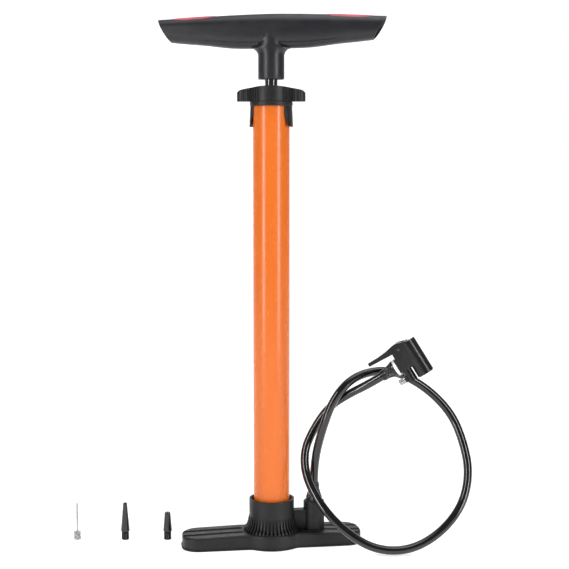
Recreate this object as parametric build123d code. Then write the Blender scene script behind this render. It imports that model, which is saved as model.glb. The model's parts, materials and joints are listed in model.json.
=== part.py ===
from build123d import *
import os
from math import cos, pi, radians, sin, tan

# Hand pump for balls: an upright steel barrel on a moulded foot, a T handle on a rod, and a
# stiff hose that ends in a lever-locked inflation head. Millimetres, +Z up. The origin is on the
# floor under the barrel's axis, and +X runs along the foot towards the hose port.

# ---- driving dimensions -------------------------------------------------------------------
BARREL_R = 19.0
BARREL_BORE_R = 17.7
BARREL_BOTTOM = 21.5
BARREL_TOP = 477.5

FOOT_LENGTH = 190.0
FOOT_WIDTH = 45.0
FOOT_CORNER_R = 17.0
FOOT_BOSS_R = 32.0
FOOT_BLEND_R = 14.0
DECK_MIDDLE = 15.0
DECK_END = 13.0
DECK_FLAT_HALF = 34.0
LIP_OUT = 1.0
LIP_HEIGHT = 1.5
GROOVE_R = 3.2
GROOVE_DEPTH = 2.6
GROOVE_Y = 7.5
GROOVE_START = 33.5
EDGE_ROUND = 2.4
UNDERSIDE_DEPTH = 3.6
SKIRT_WALL = 3.0
RIB_WALL = 2.2
HUB_R = 15.0
RIB_SPACING = 24.0
RIB_STEPS = (-3, -2, -1, 1, 2, 3)

SOCKET_R = 23.8
SOCKET_TOP = 49.0
SOCKET_FLOOR = 20.0
SOCKET_BEVEL = 5.0
CHAMBER_R = 12.0
GASKET_BORE_R = 14.5
FLARE_TOP = 29.7
FLARE_TOP_R = 24.5
FLARE_FOOT_R = 29.6
FLARE_CURVE = [(29.2, 17.8), (27.2, 19.6), (26.0, 22.2), (25.2, 25.6)]
FLARE_PLINTH = 0.8
FIN_COUNT = 44
FIN_WIDTH = 1.9
FIT_GAP = 0.1
RUN_GAP = 0.06
FREE_GAP = 0.3

PORT_X = 45.5
PORT_R = 11.2
PORT_TOP = 45.0
PORT_BORE_R = 6.5
PORT_WASHER_R = 8.6
PORT_AIR_R = 1.4
WEB_TOP = 35.5
WEB_WIDTH = 11.0
PORT_ROUND = 1.6
AIR_R = 2.0
AIR_START_X = 8.0
AIR_Z = 18.0
PASSAGE_R = 3.0
SEAT_Z = 29.0
BALL_R = 3.2
BALL_Z = 32.85
SPRING_TOP = 41.0
SPRING_R = 2.4
SPRING_WIRE_R = 0.25
SPRING_PITCH = 1.12

ROD_R = 6.5
ROD_TIP_R = 4.0
STEM_BOTTOM = 488.5
STEM_R = 13.5
SOCKET_TOP_Z = 505.0
INSERT_TOP = 523.0
INSERT_R = 7.6
STEM_TOP = 530.0
GRIP_AXIS_Z = 537.6
GRIP_HALF_TOP = 118.5
GRIP_HALF_BOTTOM = 104.5
GRIP_MID_HALF_HEIGHT = 17.6
GRIP_END_HALF_HEIGHT = 12.0
GRIP_MID_HALF_DEPTH = 13.4
GRIP_END_HALF_DEPTH = 11.0
GRIP_CORE_R = 9.0
GRIP_CORE_DROP = 0.3
GRIP_CORE_FLOOR = 82.5
GUSSET_R = 7.5
GUSSET_HALF_DEPTH = 8.5
GRIP_UNDERSIDE = 519.8
PAD_CENTRE_X = 82.0
PAD_LENGTH = 50.0
PAD_WIDTH = 17.0
PAD_DEPTH = 2.0
PAD_PROUD = 0.6
HANDLE_YAW = -18.0
CAP_YAW = -10.0
COLLAR_YAW = -22.0

PISTON_R = 17.2
PISTON_HUB_R = 11.9
PISTON_LOWER = 6.0
PISTON_HUB_TOP = 11.4
PISTON_UPPER = 6.1
NUT_R = 7.4
NUT_BOTTOM = 23.3
ROD_SHOULDER = 17.7
PISTON_Z = 29.5
SEAL_R = 17.64
SEAL_HEIGHT = 5.0
BUMPER_R = 13.0
BUMPER_TOP = 55.0

CAP_BOTTOM = 466.0
CAP_TOP = 481.4
CAP_R = 21.3
CAP_WING_HALF = 35.3
CAP_CROWN_HALF = 30.0
CAP_CROWN_DROP = 3.4
CAP_WING_TIP = 473.4
CAP_WING_WIDTH = 15.0
CAP_WING_CORNER = 5.5
CAP_FLUTES = 40
FLUTE_R = 0.75
SCALLOP_R = 1.8
SCALLOP_Y = 8.7
SCALLOP_X = (26.0, 30.2)
COLLAR_TOP = 465.7
COLLAR_R = 21.5
PRONG_R = 22.6
PRONG_TIP = 440.0
PRONG_WIDTH = 21.0
PRONG_CORNER_R = 4.0
BAND_BOTTOM = 461.2
ARCH_CROWN = 461.4
ARCH_SPRING = 458.6
ARCH_HALF_TOP = 14.2
ARCH_HALF_BOTTOM = 22.4
GUIDE_BOTTOM = 462.0
GUIDE_R = 17.4
GUIDE_FLANGE_R = 18.7
GUIDE_FLANGE = 0.8
WIPER_R = 9.3
WIPER_BOTTOM = 473.0

HOSE_R = 4.5
HOSE_BORE_R = 2.75
FLANGE_R = 8.0
FLANGE_BOTTOM = 46.0
FLANGE_TOP = 48.5
RELIEF_R = 8.7
RELIEF_TIP_R = 5.3
BARB_SPACE_R = 3.0
RELIEF_BOTTOM = 48.6
RELIEF_TOP = 64.4
# The hose's route, from the port's strain relief to the head's ferrule.
HOSE_ROUTE = [
    (45.5, 0, 64.4),
    (45.5, 0, 85),
    (51.5, -13.5, 123),
    (64.5, -16.5, 159.5),
    (89.5, -10, 181),
    (127.5, -6.5, 185),
    (163, -10, 166.5),
    (189, -20, 140),
    (199, -33.5, 112),
    (203, -46, 80.5),
    (193, -58, 49),
    (168.5, -64, 22),
    (136, -66.5, 5.5),
    (101, -62.5, 5.5),
    (72, -51, 21),
    (49, -36.5, 44.5),
    (35, -15, 70.5),
    (34, -1, 97),
    (46, 5, 121),
    (62.5, 3, 145),
    (81, -11, 160.5),
    (98, -22.3, 171.2),
    (112.4, -27.8, 181),
]
# Share of the shorter run that each bend may use.
BEND_SHARE = 0.45

FERRULE_LENGTH = 17.5
WASHER = 3.0
HEAD_FACE = FERRULE_LENGTH + WASHER
# Places on the head, from the centre of its hose inlet: x away from the hose, z away from the
# valve mouths.
CHUCK_X = 21.4
CHUCK_R = 9.0
CHUCK_BOTTOM = -19.6
CHUCK_TOP = 18.4
CHUCK_BORE_R = 6.5
SMALL_X = 6.0
SMALL_R = 5.1
SMALL_BORE_R = 4.2
HUB_X = 10.9
HUB_Z = 15.5
LEVER_HUB_R = 6.7
CAM_R = 8.7
LEVER_HALF_WIDTH = 5.0
HEAD_HALF_DEPTH = 8.6
FOLLOWER_BOTTOM = 6.6
CLAMP_TRAVEL = 2.0
PIN_R = 1.5
PLUG_R = 6.4
GROMMET_LARGE = (-16.2, -6.2)
GROMMET_SMALL = (-17.6, -7.6)
INLET_R = 3.7
BARB_R = 2.6
HEAD_AIR_R = 1.3
BLEED_Z = -15.5
BLEED_KNOB_R = 3.1
BLEED_NICKS = 14
LARGE_VALVE_R = 4.0
SMALL_VALVE_R = 3.1

NEEDLE_AT = (-205.0, 43.0)
NOZZLE_LONG_AT = (-154.0, 35.0)
NOZZLE_SHORT_AT = (-109.0, 29.0)
THREAD_R = 4.15
THREAD_PITCH = 1.1
THREAD_DEPTH = 0.5
THREAD_LENGTH = 9.4
NOZZLE_R = 4.75
NOZZLE_BORE_R = 1.2
NOZZLE_LONG = 40.0
NOZZLE_SHORT = 29.5
NEEDLE_BASE_R = 4.05
NEEDLE_R = 1.1
NEEDLE_NICKS = 18

UPRIGHT = (Align.CENTER, Align.CENTER, Align.MIN)


# ---- helpers ------------------------------------------------------------------------------
def post(radius, low, high, x=0.0, y=0.0):
    return Pos(x, y, low) * Cylinder(radius, high - low, align=UPRIGHT)


def ring(outer, inner, low, high, x=0.0):
    return post(outer, low, high, x) - post(inner, low - 1, high + 1, x)


def block(x0, x1, y0, y1, z0, z1):
    middle = Pos((x0 + x1) / 2, (y0 + y1) / 2, (z0 + z1) / 2)
    return middle * Box(x1 - x0, y1 - y0, z1 - z0)


def prism(radius, low, high, flats=6):
    return Pos(0, 0, low) * extrude(RegularPolygon(radius, flats), high - low)


def turned(points):
    """A body of revolution about Z from (radius, height) points."""
    outline = make_face(Polyline([(r, 0, z) for r, z in points], close=True))
    return revolve(outline, Axis.Z)


def side_plate(points, half_width):
    """A plate from (x, z) points, half_width each side of y = 0."""
    outline = make_face(Polyline([(x, 0, z) for x, z in points], close=True))
    return extrude(outline, half_width, dir=(0, 1, 0), both=True)


def drum(radius, half_width, x, z):
    """A round drum lying along Y."""
    return Pos(x, 0, z) * Rot(90, 0, 0) * Cylinder(radius, 2 * half_width)


def rod_x(radius, x0, x1, z=0.0):
    """A round bar lying along X."""
    return Pos((x0 + x1) / 2, 0, z) * Rot(0, 90, 0) * Cylinder(radius, x1 - x0)


# ---- foot ---------------------------------------------------------------------------------
def foot_plan():
    plan = RectangleRounded(FOOT_LENGTH, FOOT_WIDTH, FOOT_CORNER_R) + Circle(FOOT_BOSS_R)
    corners = [v for v in plan.vertices() if abs(v.X) < FOOT_BOSS_R]
    return fillet(corners, FOOT_BLEND_R)


def foot_shell():
    plan = foot_plan()
    half = FOOT_LENGTH / 2 + 5
    deck = [
        (-half, -1), (half, -1), (half, DECK_END), (DECK_FLAT_HALF, DECK_MIDDLE),
        (-DECK_FLAT_HALF, DECK_MIDDLE), (-half, DECK_END),
    ]
    shell = extrude(plan, DECK_MIDDLE + 5) & side_plate(deck, FOOT_WIDTH)
    rim = [e for e in shell.edges() if e.bounding_box().min.Z > DECK_END - 1]
    outer = [e for e in rim if abs((e @ 0.5).Y) > 1 or abs((e @ 0.5).X) > DECK_FLAT_HALF + 5]
    shell = fillet(outer, EDGE_ROUND)
    lip = extrude(offset(plan, LIP_OUT), LIP_HEIGHT)
    return shell + lip


def wing_grooves():
    length = FOOT_LENGTH / 2 - GROOVE_START + 10
    slope = (DECK_MIDDLE - DECK_END) / (FOOT_LENGTH / 2 + 5 - DECK_FLAT_HALF)
    start_z = DECK_MIDDLE - slope * (GROOVE_START - DECK_FLAT_HALF) + GROOVE_R - GROOVE_DEPTH
    cutters = Part()
    for side in (1, -1):
        for y in (-GROOVE_Y, GROOVE_Y):
            end = Vector(side * (GROOVE_START + length), y, start_z - slope * length)
            start = Vector(side * GROOVE_START, y, start_z)
            along = Plane(origin=start, z_dir=end - start)
            cutters += along * Cylinder(GROOVE_R, length, align=UPRIGHT)
            cutters += Pos(start) * Sphere(GROOVE_R)
    return cutters


def underside_pockets():
    pocket = extrude(offset(foot_plan(), -SKIRT_WALL), UNDERSIDE_DEPTH)
    walls = post(HUB_R, -1, UNDERSIDE_DEPTH)
    walls += block(-FOOT_LENGTH, FOOT_LENGTH, -RIB_WALL / 2, RIB_WALL / 2, -1, UNDERSIDE_DEPTH)
    rib = block(-RIB_WALL / 2, RIB_WALL / 2, -FOOT_WIDTH, FOOT_WIDTH, -1, UNDERSIDE_DEPTH)
    for step in RIB_STEPS:
        walls += Pos(step * RIB_SPACING, 0, 0) * rib
    return pocket - walls


def base_foot():
    return foot_shell() - wing_grooves() - underside_pockets()


def port_web():
    return block(0, PORT_X, -WEB_WIDTH / 2, WEB_WIDTH / 2, DECK_MIDDLE, WEB_TOP)


def socket_fins():
    flare = turned([
        (SOCKET_R - 2, DECK_MIDDLE), (FLARE_FOOT_R, DECK_MIDDLE), *FLARE_CURVE,
        (FLARE_TOP_R, FLARE_TOP), (SOCKET_R - 2, FLARE_TOP),
    ])
    comb = Part()
    half = FIN_WIDTH / 2
    for i in range(FIN_COUNT):
        fin = block(SOCKET_R - 3, FLARE_FOOT_R + 1, -half, half, DECK_MIDDLE - 1, FLARE_TOP + 1)
        comb += Rot(0, 0, i * 360 / FIN_COUNT) * fin
    return flare & comb


def barrel_socket():
    socket = post(SOCKET_R, DECK_MIDDLE, SOCKET_TOP) + socket_fins()
    socket += post(FLARE_FOOT_R - 1.2, DECK_MIDDLE, DECK_MIDDLE + FLARE_PLINTH)
    socket -= port_web() - post(SOCKET_R, 0, SOCKET_TOP)
    bore = BARREL_R + FIT_GAP
    socket -= turned([
        (0, SOCKET_FLOOR), (bore, SOCKET_FLOOR), (bore, SOCKET_TOP - SOCKET_BEVEL),
        (SOCKET_R - 2.2, SOCKET_TOP - 0.6), (SOCKET_R - 1.6, SOCKET_TOP + 1), (0, SOCKET_TOP + 1),
    ])
    socket -= post(CHAMBER_R, AIR_Z - AIR_R, SOCKET_FLOOR + 1)
    return socket - rod_x(AIR_R, AIR_START_X, PORT_X, AIR_Z)


def hose_port():
    port = post(PORT_R, DECK_END - 1, PORT_TOP, PORT_X)
    port = fillet(port.edges().sort_by(Axis.Z)[-1], PORT_ROUND)
    port += port_web() - post(SOCKET_R, 0, SOCKET_TOP)
    port -= foot_shell() - wing_grooves()
    port -= rod_x(AIR_R, AIR_START_X, PORT_X, AIR_Z)
    port -= post(PASSAGE_R, AIR_Z - AIR_R, SEAT_Z + 1, PORT_X)
    return port - post(PORT_BORE_R, SEAT_Z, PORT_TOP + 1, PORT_X)


# ---- barrel and its fittings --------------------------------------------------------------
def barrel_gasket():
    return ring(BARREL_R, GASKET_BORE_R, SOCKET_FLOOR, BARREL_BOTTOM)


def barrel_tube():
    return ring(BARREL_R, BARREL_BORE_R, BARREL_BOTTOM, BARREL_TOP)


def top_collar():
    """A band under the cap with two prongs down the barrel's sides and an arch between them."""
    bore = BARREL_R + FIT_GAP
    waist = COLLAR_R + 0.1
    lip = COLLAR_R + 0.6
    sleeve = turned([
        (bore, PRONG_TIP), (PRONG_R, PRONG_TIP), (waist, BAND_BOTTOM), (lip, BAND_BOTTOM + 0.8),
        (lip, COLLAR_TOP - 0.5), (waist, COLLAR_TOP), (bore, COLLAR_TOP),
    ])
    left = (-ARCH_HALF_TOP, 0, ARCH_SPRING)
    right = (ARCH_HALF_TOP, 0, ARCH_SPRING)
    low = PRONG_TIP - 4
    crown = ThreePointArc(left, (0, 0, ARCH_CROWN), right)
    sides = Polyline([right, (ARCH_HALF_BOTTOM, 0, low), (-ARCH_HALF_BOTTOM, 0, low), left])
    arch = extrude(make_face([crown, sides]), PRONG_R + 5, dir=(0, 1, 0), both=True)
    outline = Pos(-PRONG_WIDTH, 0) * RectangleRounded(2 * PRONG_WIDTH, PRONG_WIDTH, PRONG_CORNER_R)
    window = Pos(0, 0, PRONG_TIP) * Rot(0, 90, 0) * extrude(outline, PRONG_R + 5, both=True)
    prongs = (sleeve - arch) & window
    band = sleeve & post(PRONG_R + 5, BAND_BOTTOM, COLLAR_TOP + 1)
    return Rot(0, 0, COLLAR_YAW) * (prongs + (band - arch))


def cap_side():
    """The cap's outline from the front: a low crown with rounded shoulders."""
    end = CAP_WING_HALF + 1
    crown_z = CAP_TOP - CAP_CROWN_DROP
    tip_z = CAP_WING_TIP - 0.8
    shoulder_x = (CAP_CROWN_HALF + end) / 2 + 0.8
    shoulder_z = (crown_z + tip_z) / 2 + 0.9
    crown = ThreePointArc(
        (-CAP_CROWN_HALF, 0, crown_z), (0, 0, CAP_TOP), (CAP_CROWN_HALF, 0, crown_z)
    )
    right = ThreePointArc(crown @ 1, (shoulder_x, 0, shoulder_z), (end, 0, tip_z))
    left = ThreePointArc((-end, 0, tip_z), (-shoulder_x, 0, shoulder_z), crown @ 0)
    under = Polyline([right @ 1, (end, 0, CAP_BOTTOM), (-end, 0, CAP_BOTTOM), left @ 0])
    return make_face([crown, right, under, left])


def screw_cap():
    plan = Circle(CAP_R) + RectangleRounded(2 * CAP_WING_HALF, CAP_WING_WIDTH, CAP_WING_CORNER)
    body = extrude(Pos(0, 0, CAP_BOTTOM) * plan, CAP_TOP - CAP_BOTTOM + 1)
    body &= extrude(cap_side(), 40, dir=(0, 1, 0), both=True)
    flutes = Part()
    for i in range(CAP_FLUTES):
        angle = radians(i * 360 / CAP_FLUTES)
        if abs(sin(angle)) < 0.84 and abs(cos(angle)) < 0.93:
            x, y = CAP_R * cos(angle), CAP_R * sin(angle)
            flutes += post(FLUTE_R, CAP_BOTTOM - 1, CAP_TOP + 1, x, y)
    for side in (1, -1):
        for face in (1, -1):
            for x in SCALLOP_X:
                flutes += post(SCALLOP_R, CAP_BOTTOM - 1, CAP_TOP + 1, side * x, face * SCALLOP_Y)
    body -= flutes
    body -= post(BARREL_R + FREE_GAP, CAP_BOTTOM - 1, BARREL_TOP + 1)
    body -= post(ROD_R + FREE_GAP, CAP_BOTTOM, CAP_TOP + 5)
    return Rot(0, 0, CAP_YAW) * body


def rod_guide():
    guide = post(GUIDE_R, GUIDE_BOTTOM, BARREL_TOP + 0.1)
    guide += post(GUIDE_FLANGE_R, BARREL_TOP + 0.1, BARREL_TOP + 0.1 + GUIDE_FLANGE)
    guide -= post(WIPER_R, WIPER_BOTTOM, BARREL_TOP + 2)
    return guide - post(ROD_R + RUN_GAP, GUIDE_BOTTOM - 1, BARREL_TOP)


def rod_wiper():
    return ring(WIPER_R - 0.05, ROD_R + 0.08, WIPER_BOTTOM + 0.05, BARREL_TOP + GUIDE_FLANGE)


# ---- check valve and hose port ------------------------------------------------------------
def valve_seat():
    seat = turned([(2.6, 0), (6.4, 0), (6.4, 3), (3.8, 3), (2.6, 1.8)])
    return Pos(PORT_X, 0, SEAT_Z) * seat


def check_ball():
    return Pos(PORT_X, 0, BALL_Z) * Sphere(BALL_R)


def check_spring():
    low = BALL_Z + BALL_R + 0.35
    coil = Helix(SPRING_PITCH, SPRING_TOP - 0.3 - low, SPRING_R)
    wire = sweep(Plane(origin=coil @ 0, z_dir=coil % 0) * Circle(SPRING_WIRE_R), coil)
    return Pos(PORT_X, 0, low) * wire


def port_washer():
    return ring(PORT_WASHER_R, PORT_BORE_R + 0.1, PORT_TOP, FLANGE_BOTTOM, PORT_X)


def hose_barb():
    fitting = turned([
        (PORT_AIR_R, SPRING_TOP), (PORT_BORE_R - 0.1, SPRING_TOP),
        (PORT_BORE_R - 0.1, FLANGE_BOTTOM), (FLANGE_R, FLANGE_BOTTOM), (FLANGE_R, FLANGE_TOP),
        (2.7, FLANGE_TOP), (2.7, 53), (2.9, 53.2), (2.6, 55.5), (2.6, 56), (2.9, 56.2),
        (2.6, 58.5), (2.4, RELIEF_TOP - 0.2), (PORT_AIR_R, RELIEF_TOP - 0.2),
    ])
    return Pos(PORT_X, 0, 0) * fitting


def ribbed_cone(length, wide, narrow, bore, ribs):
    """A tapered sleeve, wide end at z = 0, with raised rings along it."""
    points = [(bore, 0), (wide, 0), (wide, length * 0.16)]
    step = length * 0.72 / ribs
    for i in range(ribs):
        z = length * 0.18 + i * step
        share = (z + step / 2) / length
        radius = wide + (narrow - wide) * share
        points += [(radius - 0.5, z), (radius - 0.5, z + 0.3 * step)]
        points += [(radius + 0.2, z + 0.45 * step), (radius, z + 0.9 * step)]
    points += [(narrow, length), (bore, length)]
    return turned(points)


def strain_relief():
    cone = ribbed_cone(RELIEF_TOP - RELIEF_BOTTOM, RELIEF_R, RELIEF_TIP_R, BARB_SPACE_R, 4)
    skirt = ring(RELIEF_R, FLANGE_R + 0.05, FLANGE_BOTTOM + 0.05, RELIEF_BOTTOM, PORT_X)
    return Pos(PORT_X, 0, RELIEF_BOTTOM) * cone + skirt


# ---- plunger ------------------------------------------------------------------------------
def piston_rod():
    rod = post(ROD_R, PISTON_Z + ROD_SHOULDER, SOCKET_TOP_Z)
    return rod + post(ROD_TIP_R, NUT_BOTTOM, INSERT_TOP)


def grip_loft(grow):
    """The grip's spindle, its surface grow millimetres outside the real one."""
    sections = []
    for x, share in ((-124, 1.0), (-62, 0.3), (0, 0.0), (62, 0.3), (124, 1.0)):
        depth = GRIP_MID_HALF_DEPTH + share * (GRIP_END_HALF_DEPTH - GRIP_MID_HALF_DEPTH) + grow
        height = GRIP_MID_HALF_HEIGHT + share * (GRIP_END_HALF_HEIGHT - GRIP_MID_HALF_HEIGHT) + grow
        place = Plane(origin=(x, 0, GRIP_AXIS_Z + share), x_dir=(0, 1, 0), z_dir=(1, 0, 0))
        sections.append(place * Ellipse(depth, height))
    return loft(sections)


def grip_trim():
    low = GRIP_AXIS_Z - 40
    slope = (GRIP_HALF_TOP - GRIP_HALF_BOTTOM) / (2 * GRIP_END_HALF_HEIGHT)
    bottom = GRIP_HALF_BOTTOM - slope * (40 - GRIP_END_HALF_HEIGHT)
    top = bottom + slope * 80
    return side_plate([(-bottom, low), (bottom, low), (top, low + 80), (-top, low + 80)], 40)


def pad_prism(side, grow=0.0):
    outline = RectangleRounded(PAD_LENGTH + 2 * grow, PAD_WIDTH + 2 * grow, PAD_WIDTH / 2 - 0.5)
    return Pos(side * PAD_CENTRE_X, 0, GRIP_AXIS_Z + 2) * extrude(outline, 30)


def grip_pad(side):
    pad = (grip_loft(PAD_PROUD) & pad_prism(side)) - grip_loft(-PAD_DEPTH)
    return Rot(0, 0, HANDLE_YAW) * pad


def gussets():
    """Fillets between the stem's sides and the grip's underside."""
    reach = STEM_R + GUSSET_R
    low = GRIP_UNDERSIDE - GUSSET_R
    plate = block(-reach, reach, -GUSSET_HALF_DEPTH, GUSSET_HALF_DEPTH, low, GRIP_UNDERSIDE + 4)
    return plate - drum(GUSSET_R, 20, reach, low) - drum(GUSSET_R, 20, -reach, low)


def grip_bar():
    """The whole grip with its pad recesses, before its hollow ends are parted from it."""
    bar = grip_loft(0) & grip_trim()
    for side in (1, -1):
        bar -= pad_prism(side, 0.1) - grip_loft(-PAD_DEPTH - 0.05)
    return bar


def grip_span(x0, x1):
    """The space between two places along the grip."""
    reach = 2 * GRIP_MID_HALF_HEIGHT
    return block(x0, x1, -reach, reach, GRIP_AXIS_Z - reach, GRIP_AXIS_Z + reach)


def handle_body():
    handle = (grip_bar() & grip_span(-GRIP_CORE_FLOOR, GRIP_CORE_FLOOR)) + gussets()
    handle += turned([
        (0, STEM_BOTTOM), (STEM_R - 0.4, STEM_BOTTOM), (STEM_R, STEM_BOTTOM + 0.4),
        (STEM_R, STEM_TOP), (0, GRIP_AXIS_Z),
    ])
    handle -= post(ROD_R + 0.05, STEM_BOTTOM - 1, SOCKET_TOP_Z + 0.2)
    handle -= prism(INSERT_R + 0.1, SOCKET_TOP_Z, INSERT_TOP + 0.2)
    return Rot(0, 0, HANDLE_YAW) * handle


def grip_end(side):
    """The outer part of the grip, from the floor of its core to its open mouth."""
    near, far = sorted((side * GRIP_CORE_FLOOR, side * (GRIP_HALF_TOP + 20)))
    end = grip_bar() & grip_span(near, far)
    end -= rod_x(GRIP_CORE_R, near - 1, far + 1, GRIP_AXIS_Z - GRIP_CORE_DROP)
    return Rot(0, 0, HANDLE_YAW) * end


def handle_insert():
    insert = prism(INSERT_R, SOCKET_TOP_Z + 0.3, INSERT_TOP)
    insert -= post(ROD_TIP_R + 0.05, SOCKET_TOP_Z, INSERT_TOP + 1)
    return Rot(0, 0, HANDLE_YAW) * insert


def piston_nut():
    return prism(NUT_R, NUT_BOTTOM, PISTON_Z - 0.1) - post(ROD_TIP_R + 0.05, 20, 40)


def piston_lower():
    disc = post(PISTON_R, PISTON_Z, PISTON_Z + PISTON_LOWER)
    disc += post(PISTON_HUB_R, PISTON_Z + PISTON_LOWER, PISTON_Z + PISTON_HUB_TOP)
    return disc - post(ROD_TIP_R + 0.05, PISTON_Z - 1, PISTON_Z + 20)


def piston_seal():
    low = PISTON_Z + PISTON_LOWER + 0.2
    bore = PISTON_HUB_R + 0.08
    return turned([
        (bore, low), (SEAL_R - 1.6, low), (SEAL_R, low + 1.6), (SEAL_R, low + SEAL_HEIGHT - 1.2),
        (SEAL_R - 1.2, low + SEAL_HEIGHT), (bore, low + SEAL_HEIGHT),
    ])


def piston_upper():
    low = PISTON_Z + PISTON_HUB_TOP + 0.1
    return ring(PISTON_R, ROD_TIP_R + 0.05, low, low + PISTON_UPPER)


def stroke_bumper():
    return ring(BUMPER_R, ROD_R + 0.1, PISTON_Z + ROD_SHOULDER, BUMPER_TOP)


# ---- hose ---------------------------------------------------------------------------------
def bend_radii():
    points = [Vector(*p) for p in HOSE_ROUTE]
    radii = []
    for before, at, after in zip(points, points[1:], points[2:]):
        turn = radians((at - before).get_angle(after - at))
        shorter = min((at - before).length, (after - at).length)
        radii.append(BEND_SHARE * shorter / tan(turn / 2))
    return radii


def hose_path():
    return FilletPolyline(*HOSE_ROUTE, radius=bend_radii())


def hose():
    path = hose_path()
    start = Plane(origin=path @ 0, z_dir=path % 0)
    outside = sweep(start * Circle(HOSE_R), path)
    inside = sweep(start * Circle(HOSE_BORE_R), path)
    return outside - inside


# ---- inflation head, built about its hose inlet -------------------------------------------
def head_plane():
    """x runs on from the hose's end into the head, z points away from the valve mouths."""
    end = Vector(*HOSE_ROUTE[-1])
    along = (end - Vector(*HOSE_ROUTE[-2])).normalized()
    up = Vector(0, 0, 1) - along * along.Z
    return Plane(origin=end + along * HEAD_FACE, x_dir=along, z_dir=up.normalized())


def head_ferrule():
    cone = ribbed_cone(FERRULE_LENGTH, RELIEF_R, RELIEF_TIP_R, BARB_SPACE_R, 5)
    return Pos(-WASHER, 0, 0) * Rot(0, -90, 0) * cone


def head_washer():
    return rod_x(RELIEF_R + 0.2, -WASHER, 0) - rod_x(INLET_R, -WASHER - 1, 1)


def head_barb():
    barb = rod_x(BARB_R, -HEAD_FACE + 0.2, -WASHER) + rod_x(INLET_R - 0.1, -WASHER, 6.5)
    return barb - rod_x(HEAD_AIR_R, -HEAD_FACE - 1, 8)


def head_body():
    body = post(CHUCK_R, CHUCK_BOTTOM, CHUCK_TOP, CHUCK_X)
    body += post(SMALL_R, CHUCK_BOTTOM - 0.3, 2, SMALL_X)
    body += block(0, CHUCK_X, -7.6, 7.6, -7, 8)
    body += block(2.5, CHUCK_X, -HEAD_HALF_DEPTH, HEAD_HALF_DEPTH, 0, 14)
    body += drum(LEVER_HUB_R, HEAD_HALF_DEPTH, HUB_X, HUB_Z)
    brow = [(HUB_X, 8), (CHUCK_X, 8), (CHUCK_X, CHUCK_TOP + 1.2), (HUB_X + 3, 21.4)]
    body += side_plate(brow, HEAD_HALF_DEPTH)
    body -= drum(CAM_R + 0.4, LEVER_HALF_WIDTH + 0.3, HUB_X, HUB_Z)
    body -= block(-5, HUB_X, -5.3, 5.3, HUB_Z - 7.2, 30)
    body -= block(HUB_X - 4.2, CHUCK_X + 5, -4.8, 4.8, FOLLOWER_BOTTOM - CLAMP_TRAVEL - 0.4, 11)
    body -= drum(PIN_R + 0.05, 20, HUB_X, HUB_Z)
    body -= post(CHUCK_BORE_R, CHUCK_BOTTOM - 1, 5.3, CHUCK_X)
    body -= post(SMALL_BORE_R, CHUCK_BOTTOM - 1, -6, SMALL_X)
    body -= post(1.4, -8, -1, SMALL_X)
    body -= rod_x(INLET_R, -1, 6.6)
    body -= rod_x(1.5, 6, CHUCK_X)
    body += rod_x(3.6, -0.6, 1.8, BLEED_Z) - post(SMALL_BORE_R, -20, -8, SMALL_X)
    return body - rod_x(1.25, -1, 1.5, BLEED_Z)


def grommet_large():
    return ring(PLUG_R, LARGE_VALVE_R, *GROMMET_LARGE, CHUCK_X)


def nozzle_cap_large():
    mouth = LARGE_VALVE_R + 0.4
    plug = ring(PLUG_R, mouth, CHUCK_BOTTOM - 0.8, GROMMET_LARGE[0] - 0.1, CHUCK_X)
    return plug + ring(CHUCK_R - 0.8, mouth, CHUCK_BOTTOM - 0.9, CHUCK_BOTTOM, CHUCK_X)


def grommet_small():
    return ring(SMALL_BORE_R - 0.1, SMALL_VALVE_R, *GROMMET_SMALL, SMALL_X)


def nozzle_cap_small():
    low, high = CHUCK_BOTTOM - 0.6, GROMMET_SMALL[0] - 0.1
    return ring(SMALL_BORE_R - 0.1, SMALL_VALVE_R + 0.3, low, high, SMALL_X)


def press_sleeve():
    sleeve = ring(PLUG_R - FREE_GAP, 2.4, -3.8, 5.0, CHUCK_X)
    neck = post(2.9, 5.0, FOLLOWER_BOTTOM + 0.4, CHUCK_X)
    follower = block(HUB_X - 3.6, CHUCK_X + 3, -4.4, 4.4, FOLLOWER_BOTTOM, FOLLOWER_BOTTOM + 1.8)
    return sleeve + neck - post(1.4, -5, 5.2, CHUCK_X) + follower


def lever_pin():
    return drum(PIN_R, HEAD_HALF_DEPTH + 0.5, HUB_X, HUB_Z)


def thumb_lever():
    lever = drum(LEVER_HUB_R, LEVER_HALF_WIDTH, HUB_X, HUB_Z)
    cam = [(HUB_X, 10), (HUB_X + CAM_R, 13.6), (HUB_X + CAM_R, 17.4), (HUB_X, 22.2)]
    lever += side_plate(cam, LEVER_HALF_WIDTH) & drum(CAM_R, LEVER_HALF_WIDTH, HUB_X, HUB_Z)
    arm = [
        (HUB_X, 11), (5, 13.2), (2.4, 14.0), (-25.0, 15.3), (-25.4, 16.0), (-25.2, 18.9),
        (-14, 18.9), (-4, 19.8), (4.5, 21.6), (HUB_X, 22.2),
    ]
    lever += side_plate(arm, LEVER_HALF_WIDTH)
    return lever - drum(PIN_R + RUN_GAP, 20, HUB_X, HUB_Z)


def bleed_screw():
    screw = rod_x(BLEED_KNOB_R, -7.6, -0.7, BLEED_Z)
    for i in range(BLEED_NICKS):
        angle = 2 * pi * i / BLEED_NICKS
        nick = rod_x(0.35, -9, 0, BLEED_Z)
        screw -= Pos(0, BLEED_KNOB_R * cos(angle), BLEED_KNOB_R * sin(angle)) * nick
    return screw + rod_x(1.2, -0.7, 1.4, BLEED_Z)


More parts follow.
